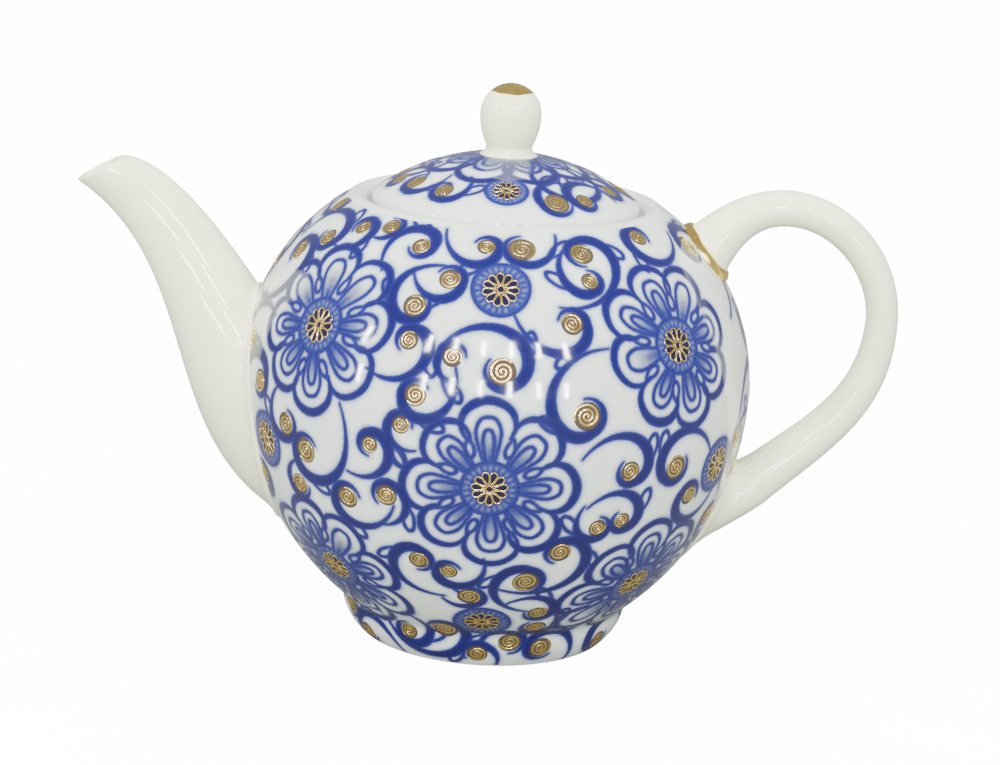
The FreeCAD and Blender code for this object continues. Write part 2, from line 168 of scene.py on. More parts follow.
def pot_outline():
    """The pot's closed outline, after its painted outside: rim, gallery, inside, foot."""
    inner_low, inner_high = LOW_RADIUS - WALL, HIGH_RADIUS - WALL
    ceiling, ground = 110.2, 13.4      # heights where the inside's two arcs end
    top = (HIGH_CENTRE + math.sqrt(inner_high ** 2 - (ceiling - BELLY) ** 2), ceiling)
    bottom = (LOW_CENTRE + math.sqrt(inner_low ** 2 - (BELLY - ground) ** 2), ground)
    waist = (BELLY_RADIUS - WALL, BELLY)
    rim = resample(arc(RIM, (36.8, 117.0), 3.0), 0.6)[1:]
    gallery = rounded([(36.8, 117.0), (36.8, 114.8), (31.6, 114.8), (31.6, 111.8),
                       top], 0.7)[1:-1]
    inside = np.concatenate([
        arc(top, waist, -inner_high, 3.0)[:-1],
        arc(waist, bottom, -inner_low, 3.0),
    ])
    floor = rounded([bottom, (31.2, 7.3), (0.0, 7.3)], 3.0)[1:]
    foot = rounded([(0.0, 3.5), (30.2, 3.5), (31.2, 0.0), BASE], 0.6)[:-1]
    return np.concatenate([rim, gallery, inside, floor]), foot


# ---- painting

class Canvas:
    """Paint layers over a grid of surface points.

    Layers hold SPREAD minus the distance to the nearest stroke's edge, never below zero, so
    that a value of SPREAD is a stroke's edge and zero is bare porcelain. The layer "wash" is
    plain coverage from 0 to 1.
    """

    def __init__(self, shape):
        # The tan layer is the ground under each gold coil; it is painted dark brown, as shade between the
        # raised gold lines.
        self.layers = {name: np.zeros(shape) for name in ("ink", "wash", "navy", "tan")}

    def put(self, layer, index, values):
        self.layers[layer][index] = np.maximum(self.layers[layer][index], values)

    def stroke(self, place, points, widths, layer="ink"):
        """Brush a line through points, in mm round a place, with half widths."""
        points = np.asarray(points, float)
        widths = BRUSH * np.broadcast_to(np.asarray(widths, float), len(points))
        margin = SPREAD + widths.max()
        index, x, y = self.near(place, points.min(0) - margin, points.max(0) + margin)
        gap = np.full(x.shape, 9.0)
        for a, b, first, last in zip(points, points[1:], widths, widths[1:]):
            step = b - a
            t = np.clip(((x - a[0]) * step[0] + (y - a[1]) * step[1]) / (step @ step + 1e-9), 0, 1)
            off = np.hypot(x - a[0] - t * step[0], y - a[1] - t * step[1])
            gap = np.minimum(gap, off - (first + t * (last - first)))
        self.put(layer, index, np.clip(SPREAD - gap, 0, 2 * SPREAD))

    def disc(self, place, radius, layer):
        margin = radius + SPREAD
        index, x, y = self.near(place, (-margin, -margin), (margin, margin))
        self.put(layer, index, np.clip(SPREAD - np.hypot(x, y) + radius, 0, 2 * SPREAD))


class PotCanvas(Canvas):
    """The outside of the pot. A place is (azimuth, along)."""

    def __init__(self):
        self.azimuths = -180 + 360 / COLUMNS * np.arange(COLUMNS)
        super().__init__((len(OUTSIDE), COLUMNS))

    def near(self, place, low, high):
        azimuth, height = place
        y = OUTSIDE_ALONG - height
        rows = np.nonzero((y > low[1]) & (y < high[1]))[0]
        turn = np.radians((self.azimuths - azimuth + 180) % 360 - 180)
        if not len(rows):
            rows = np.array([0])
        small = OUTSIDE[rows, 0].min()
        columns = np.nonzero((turn * small > low[0]) & (turn * small < high[0]))[0]
        x = turn[columns][None, :] * OUTSIDE[rows, 0][:, None]
        return np.ix_(rows, columns), x, np.broadcast_to(y[rows][:, None], x.shape)

    def holds(self, place, points):
        reach = place[1] + points[:, 1]
        return (reach > 1.5) & (reach < OUTSIDE_ALONG[-1] - 1)

    def lift(self, place, points, height):
        """Places in 3D of points in mm round a place."""
        radius, level, out, up = wall_at(place[1] + points[:, 1])
        turn = math.radians(place[0]) + points[:, 0] / radius
        radius = radius + height * out
        return np.stack([radius * np.sin(turn), -radius * np.cos(turn), level + height * up], 1)


DOME_RADIUS, DOME_CENTRE = 58.2, 73.4
LID_COLUMNS = 560
LID_EDGE = 34.34


class LidCanvas(Canvas):
    """The lid's dome, rolled out flat round its apex. A place is (x, y) on it, front at -y."""

    def __init__(self):
        reach = DOME_RADIUS * math.asin(LID_EDGE / DOME_RADIUS)
        self.reaches = np.linspace(5.6, reach, int((reach - 5.6) / STEP))
        turn = 2 * math.pi / LID_COLUMNS * np.arange(LID_COLUMNS)
        self.x = self.reaches[:, None] * np.sin(turn)[None, :]
        self.y = -self.reaches[:, None] * np.cos(turn)[None, :]
        super().__init__(self.x.shape)

    def near(self, place, low, high):
        x, y = self.x - place[0], self.y - place[1]
        index = np.nonzero((x > low[0]) & (x < high[0]) & (y > low[1]) & (y < high[1]))
        return index, x[index], y[index]

    def holds(self, place, points):
        reach = np.hypot(*(points + np.array(place, float)).T)
        return (reach > 8) & (reach < 33)

    def lift(self, place, points, height):
        flat = points + np.array(place, float)
        reach = np.hypot(*flat.T)
        tilt = reach / DOME_RADIUS
        radius = (DOME_RADIUS + height) * np.sin(tilt)
        level = DOME_CENTRE + (DOME_RADIUS + height) * np.cos(tilt)
        return np.stack([radius * flat[:, 0] / reach, radius * flat[:, 1] / reach, level], 1)


def turned(points, degrees):
    c, s = math.cos(math.radians(degrees)), math.sin(math.radians(degrees))
    return np.asarray(points, float) @ np.array([[c, s], [-s, c]])


def swelling(count, thin, thick, peak=0.5):
    """Half widths of a brush stroke that is thin at its ends and thickest at its peak."""
    t = np.linspace(0, 1, count)
    t = np.where(t < peak, 0.5 * t / peak, 0.5 + 0.5 * (t - peak) / (1 - peak))
    return thin + (thick - thin) * np.sin(math.pi * t) ** 1.3


def ring(radius, count=40, start=0.0, sweep=360.0):
    turn = np.radians(start + sweep * np.linspace(0, 1, count))
    return radius * np.stack([np.cos(turn), np.sin(turn)], 1)


def teardrop(length, half_width):
    """A closed loop that starts and ends at the origin and reaches out along x."""
    shape = [(0, 0), (0.35, 0.75), (0.72, 1.0), (0.97, 0.5), (1.0, -0.1),
             (0.85, -0.75), (0.5, -0.95), (0.2, -0.5), (0, 0)]
    return smooth_line([(length * u, half_width * v) for u, v in shape], 5)


def mirrored(half):
    """An outline from the half of it below the x axis, which ends at the tip."""
    return half + [(x, -y) for x, y in half[-2::-1]]


OUTER_PETAL = mirrored([(0.57, -0.235), (0.66, -0.285), (0.77, -0.295), (0.88, -0.25),
                        (0.965, -0.14), (1.0, 0.0)])
INNER_PETAL = mirrored([(0.33, -0.065), (0.5, -0.115), (0.66, -0.14), (0.785, -0.09), (0.815, 0.0)])
ROSETTE_PETAL = mirrored([(0.24, 0.0), (0.5, 0.125), (0.8, 0.20), (0.97, 0.11), (1.0, 0.0)])


def paint_disc(canvas, place, radius):
    """A ribbed blue disc with a dark middle for a gilded rosette."""
    index, x, y = canvas.near(place, (-radius, -radius), (radius, radius))
    reach = np.hypot(x, y) / radius
    turn = np.arctan2(y, x)
    ribs = np.exp(-((reach - 0.80) / 0.10) ** 2) * (0.5 + 0.5 * np.cos(24 * turn)) ** 1.5
    canvas.put("wash", index, np.where(reach < 1, 1.0 - 0.36 * ribs, 0))
    canvas.stroke(place, ring(radius), 0.42)
    canvas.disc(place, 0.60 * radius, "navy")


def paint_flower(canvas, place, size, petals=8, start=0.0, double=0.85):
    """Thick looped petals, thinner petals inside them, and a ribbed disc."""
    disc = 0.325 * size
    pitch = 360 / petals
    spread = math.tan(math.radians(pitch / 2)) / math.tan(math.radians(22.5))
    margin = 0.75 * size
    index, x, y = canvas.near(place, (-margin, -margin), (margin, margin))
    reach = np.hypot(x, y) / size
    lobes = np.cos(math.pi / math.radians(pitch) * (np.arctan2(y, x) - math.radians(start))) ** 2
    fade = np.clip(1.2 - (reach - 0.32) / 0.36, 0, 1)
    canvas.put("wash", index, np.where(reach > 0.3, fade * (0.22 + 0.76 * lobes ** 1.7), 0))
    for k in range(petals):
        angle = start + pitch * k + RNG.uniform(-2, 2)
        grow = size * RNG.uniform(0.95, 1.04)
        shape = np.array(OUTER_PETAL) * [grow, grow * spread]
        line = turned(smooth_line(shape, 4), angle)
        thick = RNG.uniform(0.85, 1.1)
        canvas.stroke(place, line, swelling(len(line), 0.40, thick, RNG.uniform(0.3, 0.7)))
        corner = angle + pitch / 2 + RNG.uniform(-2, 2)
        loop = turned(teardrop(0.23 * size, 0.052 * size) * [-1, 1], RNG.uniform(-12, 12))
        loop = turned(loop + [0.655 * size, 0], corner)
        canvas.stroke(place, loop, swelling(len(loop), 0.40, 0.46))
        inner = np.array(INNER_PETAL) * [grow, grow * spread * RNG.uniform(0.85, 1.1)]
        line = turned(smooth_line(inner, 4), angle)
        canvas.stroke(place, line, swelling(len(line), 0.40, 0.47))
        if RNG.random() < double:
            line = turned(smooth_line(inner * [0.76, 0.45] + [0.06 * size, 0], 4), angle)
            canvas.stroke(place, line, swelling(len(line), 0.42, 0.44))
    paint_disc(canvas, place, disc)


# ---- gilding

class Gilding:
    """Thin raised lines of gold laid on a canvas, gathered in one mesh."""

    def __init__(self):
        self.points, self.faces = [], []

    def line(self, canvas, place, points, width, height=0.10, closed=False):
        """A low bead along points; its underside is sunk a little into the glaze."""
        points = np.asarray(points, float)
        if closed:
            points = points[:-1]
            step = np.roll(points, -1, 0) - np.roll(points, 1, 0)
        else:
            step = np.gradient(points, axis=0)
        step /= np.hypot(*step.T)[:, None]
        side = np.stack([-step[:, 1], step[:, 0]], 1) * width / 2
        rails = [canvas.lift(place, points + side * share, level) for share, level in
                 ((-1, -0.05), (1, -0.05), (0.62, height * 0.8), (0, height), (-0.62, height * 0.8))]
        first, count, rim = len(self.points), len(points), len(rails)
        self.points.extend(np.stack(rails, 1).reshape(-1, 3).tolist())
        for k in range(count if closed else count - 1):
            here, there = first + k * rim, first + (k + 1) % count * rim
            for r in range(rim):
                s = (r + 1) % rim
                self.faces.append((here + r, here + s, there + s, there + r))
        if not closed:
            self.faces.append(tuple(first + r for r in range(rim))[::-1])
            self.faces.append(tuple(first + (count - 1) * rim + r for r in range(rim)))

    def spiral(self, canvas, place, radius):
        """A coil of two to three turns on a ground painted dark brown, as painted shade between the
        raised gold lines.
        """
        turns = 2.2 + 0.2 * radius * RNG.uniform(0.7, 1.0)
        start = RNG.uniform(0, 2 * math.pi)
        t = np.linspace(0, 1, int(17 * turns))
        reach = radius * (0.07 + 0.93 * t)
        turn = start + 2 * math.pi * turns * t ** 0.85 * RNG.choice((-1, 1))
        oval = RNG.uniform(0.88, 1.0)
        line = np.stack([reach * np.cos(turn), oval * reach * np.sin(turn)], 1)
        self.line(canvas, place, line, 0.17 * radius + 0.14)
        # The ground under the coil, painted dark as the shade between its raised gold lines.
        canvas.disc(place, radius + 0.12, "tan")

    def rosette(self, canvas, place, radius, petals=11):
        outline = smooth_line(np.array(ROSETTE_PETAL) * radius, 2)
        start = RNG.uniform(0, 360)
        for k in range(petals):
            petal = turned(outline, start + 360 / petals * k)
            self.line(canvas, place, petal, 0.085 * radius, closed=True)
        self.line(canvas, place, ring(0.2 * radius, 15), 0.07 * radius, closed=True)


# ---- the painted design

# The flowers stand in a lattice: one in the middle of each side, four round it. A disc stands above,
# below and beside each middle flower. All places are shares of the wall's painted length.
LENGTH = OUTSIDE_ALONG[-1]
FLOWER_SIZE, DISC_SIZE = 0.16 * LENGTH, 7.2
FLOWERS = [(azimuth, 0.5 * LENGTH, 2) for azimuth in (0, 180)] \
    + [(azimuth, row * LENGTH, 10) for row in (0.25, 0.75) for azimuth in (-135, -45, 45, 135)]
DISCS = [(0, 0.15 * LENGTH), (0, 0.87 * LENGTH), (-60, 0.5 * LENGTH), (60, 0.5 * LENGTH)]
SPIRAL_TRIES, LID_SPIRAL_TRIES = 900, 260
LID_DISC, LID_DISC_REACH, LID_MIDDLE = 5.6, 26.0, 22.0   # LID_MIDDLE is left to the petals


# (azimuth, the wall's radius there, half width of the root)
SPOUT_ROOT, HANDLE_ROOT = (-90, 65, 15), (90, 60, 14)


def under_root(azimuth, height, reach):
    """Whether a mark would run under the root of the spout or of the handle."""
    def beside(at, radius, half_width):
        return math.radians(abs((azimuth - at + 180) % 360 - 180)) * radius < half_width + reach

    return beside(*SPOUT_ROOT) and 22 < height < 104 + reach \
        or beside(*HANDLE_ROOT) and (height > 108 - reach or 20 < height < 60)


def scatter(canvas, draw, tries, taken):
    """Places and radii for spirals, in the free space that is left by marks already taken."""
    spots = []
    for _ in range(tries):
        place, radius = draw(), RNG.uniform(2.0, 3.5)
        gap = RNG.choice((1.6, 1.6, 5.0))
        centre = canvas.lift(place, np.zeros((1, 2)), 0)[0]
        if all(np.linalg.norm(centre - other) > radius + size + gap for other, size in taken):
            taken.append((centre, radius + 1.0))
            spots.append((place, radius))
    return spots


def paint_scroll(canvas, place, radius, taken, drawn):
    """A scroll that rings a spiral and then opens out, until it meets another mark."""
    theta = np.arange(0, 400, 8.0)
    centres, sizes = np.array([c for c, _ in taken]), np.array([r for _, r in taken])
    best = None
    for _ in range(12):
        start, hand = RNG.uniform(0, 360), RNG.choice((-1, 1))
        reach = (radius + 1.0) * RNG.uniform(3.6, 5.6) ** (np.clip(theta - 170, 0, None) / 230)
        turn = np.radians(start + hand * theta)
        line = np.stack([reach * np.cos(turn), reach * np.sin(turn)], 1)
        spots = canvas.lift(place, line, 0)
        met = (np.linalg.norm(spots[:, None] - centres, axis=2) < sizes).any(1)
        if drawn:
            met |= (np.linalg.norm(spots[:, None] - np.array(drawn), axis=2) < 1.3).any(1)
        met |= ~canvas.holds(place, line)
        met[theta < 190] = False
        stop = int(np.argmax(met)) if met.any() else len(line)
        if best is None or stop > len(best[0]):
            best = line[:stop + 1], spots[:stop]
    line, spots = best
    canvas.stroke(place, line, swelling(len(line), 0.3, 0.3 + 0.022 * len(line), 0.65))
    if len(line) > 34:
        ahead = math.degrees(math.atan2(*(line[31] - line[29])[::-1]))
        leaf = turned(teardrop(8.0, 1.5) * [-1, 1], ahead + 180) + line[30]
        canvas.stroke(place, leaf, swelling(len(leaf), 0.38, 0.5))
    drawn.extend(spots[18:])


def paint_scrolls(canvas, gilding, spots, taken):
    drawn = []
    for place, radius in spots:
        gilding.spiral(canvas, place, radius)
        paint_scroll(canvas, place, radius, taken, drawn)


def paint_pot(canvas, spirals, rosettes):
    taken = []

    def take(place, size):
        taken.append((canvas.lift(place, np.zeros((1, 2)), 0)[0], size))

    for azimuth, height, start in FLOWERS:
        paint_flower(canvas, (azimuth, height), FLOWER_SIZE, 8, start)
        rosettes.rosette(canvas, (azimuth, height), 0.205 * FLOWER_SIZE)
        take((azimuth, height), 0.97 * FLOWER_SIZE)
    for side in (0, 180):
        for turn, height in DISCS:
            place = (side + turn, height)
            if under_root(*place, 4):
                continue
            paint_disc(canvas, place, DISC_SIZE)
            rosettes.rosette(canvas, place, 4.6)
            take(place, DISC_SIZE)

    def draw():
        while True:
            place = (RNG.uniform(-180, 180), RNG.uniform(4, 135))
            if not under_root(*place, 4):
                return place

    paint_scrolls(canvas, spirals, scatter(canvas, draw, SPIRAL_TRIES, taken), taken)


def petal(base, tip, wide, limit=math.radians(160)):
    """An open ellipse that points along x, from its base round its tip and back."""
    turn = np.linspace(-limit, limit, 45)
    half = (tip - base) / (1 - math.cos(limit))
    return np.stack([tip - half + half * np.cos(turn), wide * np.sin(turn)], 1)


def paint_lid(canvas, gilding):
    centre = (0.0, 0.0)
    index, x, y = canvas.near(centre, (-19, -19), (19, 19))
    fade = np.clip(1.3 - (np.hypot(x, y) - 8) / 8, 0, 1)
    lobes = np.cos(4 * (np.arctan2(y, x) - math.radians(-67.5))) ** 2
    canvas.put("wash", index, 0.9 * fade * (0.2 + 0.8 * lobes))
    for k in range(8):
        angle = -67.5 + 45 * k + RNG.uniform(-2, 2)
        grow = RNG.uniform(0.96, 1.03)
        line = turned(petal(9, 22.5, 7) * grow, angle)
        canvas.stroke(centre, line, swelling(len(line), 0.42, 1.05, RNG.uniform(0.35, 0.65)))
        for tip, wide in ((17.0, 3.9), (14.0, 2.0)):
            line = turned(petal(7.5, tip, wide), angle)
            canvas.stroke(centre, line, swelling(len(line), 0.42, 0.5))
        loop = turned(teardrop(6.0, 1.3) * [-1, 1], RNG.uniform(-10, 10))
        loop = turned(loop + [15.5, 0], angle + 22.5)
        canvas.stroke(centre, loop, swelling(len(loop), 0.42, 0.46))
        if k not in (0, 7):
            turn = angle - 22.5 + RNG.uniform(-3, 3)
            line = turned(petal(13, 31, 9.5), turn)
            canvas.stroke(centre, line, swelling(len(line), 0.42, 1.0, RNG.uniform(0.35, 0.65)))
    near_apex = canvas.lift((0.0, -canvas.reaches[0]), np.zeros((1, 2)), 0)[0]
    taken = [(near_apex * [0, 0, 1], LID_MIDDLE)]
    for turn in (0, 120, 240):
        place = turned([(0, -LID_DISC_REACH)], turn)[0]
        paint_disc(canvas, place, LID_DISC)
        gilding.rosette(canvas, place, 3.7)
        taken.append((canvas.lift(place, np.zeros((1, 2)), 0)[0], LID_DISC))

    def draw():
        return turned([(0, -RNG.uniform(23.5, 31.5))], RNG.uniform(0, 360))[0]

    paint_scrolls(canvas, gilding, scatter(canvas, draw, LID_SPIRAL_TRIES, taken), taken)


# ---- meshes

def add_piece(name, points, faces, body, material, layers=None, smooth=40.0):
    """A mesh from points in mm, riding on a body."""
    mesh = bpy.data.meshes.new(name)
    mesh.from_pydata((np.asarray(points, float) * MM).tolist(), [], faces)
    mesh.validate()
    for layer, values in (layers or {}).items():
        made = mesh.attributes.new(layer, "FLOAT", "POINT")
        made.data.foreach_set("value", values.astype(np.float32))
    mesh.polygons.foreach_set("use_smooth", np.ones(len(mesh.polygons), bool))
    mesh.set_sharp_from_angle(angle=math.radians(smooth))
    mesh.materials.append(material)
    piece = bpy.data.objects.new(name, mesh)
    bpy.context.scene.collection.objects.link(piece)
    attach(piece, body)
    return piece


def lathe(outline, turns, whole):
    """Points and faces of an outline turned through the azimuths `turns`, in degrees.

    An outline end on the axis is one point. A part turn is closed by its two end outlines.
    """
    turns = np.radians(turns)
    rows, columns = len(outline), len(turns)
    index = np.zeros((rows, columns), int)
    points = []
    for row, (radius, level) in enumerate(outline):
        if radius < 1e-6:
            index[row] = len(points)
            points.append((0.0, 0.0, level))
            continue
        index[row] = len(points) + np.arange(columns)
        points.extend(np.stack([radius * np.sin(turns), -radius * np.cos(turns),
                                np.full(columns, level)], 1).tolist())
    if whole:
        index = np.concatenate([index, index[:, :1]], 1)
    faces = []
    for here, there in zip(index.tolist(), index[1:].tolist()):
        for a, b, c, d in zip(here, here[1:], there[1:], there):
            faces.append((a, c, d) if a == b else (a, b, c) if c == d else (a, b, c, d))
    if not whole:
        faces.extend([tuple(index[::-1, 0].tolist()), tuple(index[:, -1].tolist())])
    return np.array(points), faces, index


def tube(rings, closed):
    """Faces over a stack of rings of points, (rows, around, 3)."""
    rows, around = rings.shape[:2]
    index = np.arange(rows * around).reshape(rows, around).tolist()
    faces = []
    for row in range(rows if closed else rows - 1):
        here, there = index[row], index[(row + 1) % rows]
        for k in range(around):
            m = (k + 1) % around
            faces.append((here[k], here[m], there[m], there[k]))
    if not closed:
        faces.extend([tuple(index[0][::-1]), tuple(index[-1])])
    return rings.reshape(-1, 3), faces


# ---- materials

def new_material(name):
    material = bpy.data.materials.new(name)
    material.use_nodes = True
    tree = material.node_tree
    return material, tree, tree.nodes["Principled BSDF"]


def node(tree, kind, inputs=None, **settings):
    made = tree.nodes.new(kind)
    for key, value in settings.items():
        setattr(made, key, value)
    for key, value in (inputs or {}).items():
        if isinstance(value, bpy.types.NodeSocket):
            tree.links.new(value, made.inputs[key])
        else:
            made.inputs[key].default_value = value
    return made


def noise(tree, scale, detail=3.0):
    place = node(tree, "ShaderNodeTexCoord").outputs["Object"]
    made = node(tree, "ShaderNodeTexNoise", {"Vector": place, "Scale": scale, "Detail": detail})
    return made.outputs["Fac"]


def span(tree, value, low, high, out_low, out_high):
    made = node(tree, "ShaderNodeMapRange", {
        "Value": value, "From Min": low, "From Max": high, "To Min": out_low, "To Max": out_high})
    return made.outputs["Result"]


def ramp(tree, value, stops):
    made = node(tree, "ShaderNodeValToRGB", {"Fac": value})
    elements = made.color_ramp.elements
    while len(elements) < len(stops):
        elements.new(0.5)
    for element, (position, colour) in zip(elements, stops):
        element.position = position
        element.color = (*colour, 1.0)
    return made.outputs["Color"]


def mix(tree, share, first, second, blend="MIX"):
    made = node(tree, "ShaderNodeMix", data_type="RGBA", blend_type=blend)
    tree.links.new(share, made.inputs["Factor"])
    for socket, value in ((made.inputs[6], first), (made.inputs[7], second)):
        if isinstance(value, bpy.types.NodeSocket):
            tree.links.new(value, socket)
        else:
            socket.default_value = (*value, 1.0)
    return made.outputs[2]


def layer(tree, name):
    return node(tree, "ShaderNodeAttribute", attribute_name=name).outputs["Fac"]


# The pot wall's porcelain, set darker than the same porcelain on spout, handle and knob: a shaded copy of
# one ware, painted shade.
SHADED_WHITE = (0.65, 0.70, 0.61)
SHADED_COOL_WHITE = (0.60, 0.66, 0.61)
WASH = (0.014, 0.021, 0.14)


def glaze(tree, shader, ripple):
    """A clear glaze: a fine uneven skin, with a slow ripple of the ware under it."""
    shader.inputs["IOR"].default_value = 1.52
    rough = span(tree, noise(tree, 260.0), 0.3, 0.7, 0.05, 0.10)
    tree.links.new(rough, shader.inputs["Roughness"])
    skin = node(tree, "ShaderNodeBump", {"Height": noise(tree, 420.0, 2.0), "Strength": 0.02,
                                         "Distance": 0.0002})
    slow = node(tree, "ShaderNodeBump", {"Height": noise(tree, 55.0, 1.0), "Strength": ripple,
                                         "Distance": 0.0004, "Normal": skin.outputs["Normal"]})
    tree.links.new(slow.outputs["Normal"], shader.inputs["Normal"])


# The pot's porcelain for spout, handle and knob, set brighter than on the wall: a lit copy of one ware,
# with light painted into its colour.
def lit_white_porcelain():
    material, tree, shader = new_material("white_glazed_porcelain")
    tone = ramp(tree, noise(tree, 18.0), [(0.3, (0.91, 0.93, 0.62)), (0.7, (0.88, 0.90, 0.63))])
    specks = span(tree, noise(tree, 900.0), 0.74, 0.8, 0.0, 0.25)
    tree.links.new(mix(tree, specks, tone, (0.55, 0.54, 0.46)), shader.inputs["Base Color"])
    glaze(tree, shader, 0.10)
    return material


def painted_porcelain():
    """White ware with cobalt brushwork, washes, and dark grounds under the gold coils, painted as shade
    between the raised gold lines, from paint layers.
    """
    material, tree, shader = new_material("painted_glazed_porcelain")
    colour = ramp(tree, noise(tree, 18.0), [(0.3, SHADED_WHITE), (0.7, SHADED_COOL_WHITE)])
    wash = node(tree, "ShaderNodeMath", {0: layer(tree, "wash"),
                                         1: span(tree, noise(tree, 700.0), 0.3, 0.7, 0.92, 1.12)},
                operation="MULTIPLY").outputs[0]
    wash = ramp(tree, wash, [(0.0, (0, 0, 0)), (0.25, (0.45,) * 3), (0.5, (0.76,) * 3),
                             (0.75, (0.91,) * 3), (1.0, (1, 1, 1))])
    colour = mix(tree, wash, colour, WASH)
    uneven = span(tree, noise(tree, 900.0), 0.3, 0.7, -0.05, 0.05)
    ink = node(tree, "ShaderNodeMath", {0: layer(tree, "ink"), 1: uneven}, operation="ADD").outputs[0]
    cover = span(tree, ink, 0.0, 2 * SPREAD, 0.0, 1.0)
    strength = ramp(tree, cover, [(0.0, (0, 0, 0)), (0.16, (0.12,) * 3), (0.31, (0.32,) * 3),
                                  (0.42, (0.60,) * 3), (0.49, (0.88,) * 3), (0.55, (1, 1, 1))])
    blue = ramp(tree, cover, [(0.24, (0.10, 0.19, 0.48)), (0.44, (0.040, 0.062, 0.26)),
                              (0.52, (0.018, 0.023, 0.145)), (0.62, (0.009, 0.010, 0.092)),
                              (0.76, (0.006, 0.006, 0.070))])
    colour = mix(tree, strength, colour, blue, "DARKEN")
    navy = span(tree, layer(tree, "navy"), SPREAD - 0.15, SPREAD + 0.15, 0.0, 1.0)
    colour = mix(tree, navy, colour, (0.006, 0.004, 0.022))
    # The ground under each gold coil: near-black brown, darkest at its rim, a painted shade between the
    # raised gold lines.
    tan = layer(tree, "tan")
    edge = span(tree, tan, SPREAD - 0.25, SPREAD + 0.05, 0.0, 1.0)
    ground = ramp(tree, span(tree, tan, SPREAD, SPREAD + 0.5, 0.0, 1.0),
                  [(0.0, (0.022, 0.016, 0.02)), (0.7, (0.06, 0.042, 0.03))])
    colour = mix(tree, edge, colour, ground)
    tree.links.new(colour, shader.inputs["Base Color"])
    glaze(tree, shader, 0.10)
    return material


def gold():
    material, tree, shader = new_material("fired_gold")
    shader.inputs["Metallic"].default_value = 1.0
    tone = ramp(tree, noise(tree, 500.0), [(0.35, (0.92, 0.62, 0.12)), (0.65, (1.0, 0.78, 0.24))])
    tree.links.new(tone, shader.inputs["Base Color"])
    rough = span(tree, noise(tree, 300.0), 0.3, 0.7, 0.16, 0.32)
    tree.links.new(rough, shader.inputs["Roughness"])
    bump = node(tree, "ShaderNodeBump", {"Height": noise(tree, 600.0), "Strength": 0.06,
                                         "Distance": 0.0002})
    tree.links.new(bump.outputs["Normal"], shader.inputs["Normal"])
    return material


# ---- the pot and the lid

def cut_holes(piece, holes, start, end):
    """Cut round holes along a line into a piece, each (offset point, radius)."""
    going = (np.array(end) - start) / np.linalg.norm(np.array(end) - start)
    side = np.cross(going, (0.3, 0.5, 0.8))
    side /= np.linalg.norm(side)
    other = np.cross(going, side)
    points, faces = [], []
    for offset, radius in holes:
        first, count = len(points), 20
        for tip in (start, end):
            for k in range(count):
                turn = 2 * math.pi * k / count
                arm = radius * (math.cos(turn) * side + math.sin(turn) * other)
                points.append(((np.array(tip) + offset + arm) * MM).tolist())
        for k in range(count):
            m = (k + 1) % count
            faces.append((first + k, first + m, first + count + m, first + count + k))
        faces.append(tuple(range(first + count - 1, first - 1, -1)))
        faces.append(tuple(range(first + count, first + 2 * count)))
    mesh = bpy.data.meshes.new("cutter")
    mesh.from_pydata(points, [], faces)
    mesh.update()
    cutter = bpy.data.objects.new("cutter", mesh)
    bpy.context.scene.collection.objects.link(cutter)
    modifier = piece.modifiers.new("holes", "BOOLEAN")
    modifier.operation = "DIFFERENCE"
    modifier.solver = "EXACT"
    modifier.object = cutter
    bpy.context.view_layer.update()
    shape = bpy.data.meshes.new_from_object(piece.evaluated_get(bpy.context.evaluated_depsgraph_get()))
    piece.modifiers.clear()
    piece.data = shape
    bpy.data.objects.remove(cutter)


POT_NODES = ("pot_foot", "pot_bowl", "pot_shoulder", "pot_gallery")
SECTORS = {"pot_wall_spout_side": 0, "pot_wall_front": 1, "pot_wall_handle_side": 2,
           "pot_wall_back": 3}


def make_pot(material, canvas):
    rest, foot = pot_outline()
    outline = np.concatenate([foot, OUTSIDE, rest])
    quarter = COLUMNS // 4
    for name, order in SECTORS.items():
        columns = (COLUMNS // 8 + quarter * order + np.arange(quarter + 1)) % COLUMNS
        turns = -180 + 360 / COLUMNS * (COLUMNS // 8 + quarter * order + np.arange(quarter + 1))
        points, faces, index = lathe(outline, turns, whole=False)
        layers = {}
        for key, field in canvas.layers.items():
            values = np.zeros(len(points))
            values[index[len(foot):len(foot) + len(OUTSIDE)]] = field[:, columns]
            layers[key] = values
        piece = add_piece(name, points, faces, "pot", material, layers)
        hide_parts(*POT_NODES)
        if name == "pot_wall_spout_side":
            holes = [(np.zeros(3), 2.0)]
            for circle, count in ((7.0, 6), (14.0, 12)):
                for k in range(count):
                    turn = 2 * math.pi * k / count
                    holes.append((np.array([0, circle * math.cos(turn), circle * math.sin(turn)]), 2.0))
            cut_holes(piece, holes, (-74.0, 0.0, 54.0), (-50.0, 0.0, 54.0))


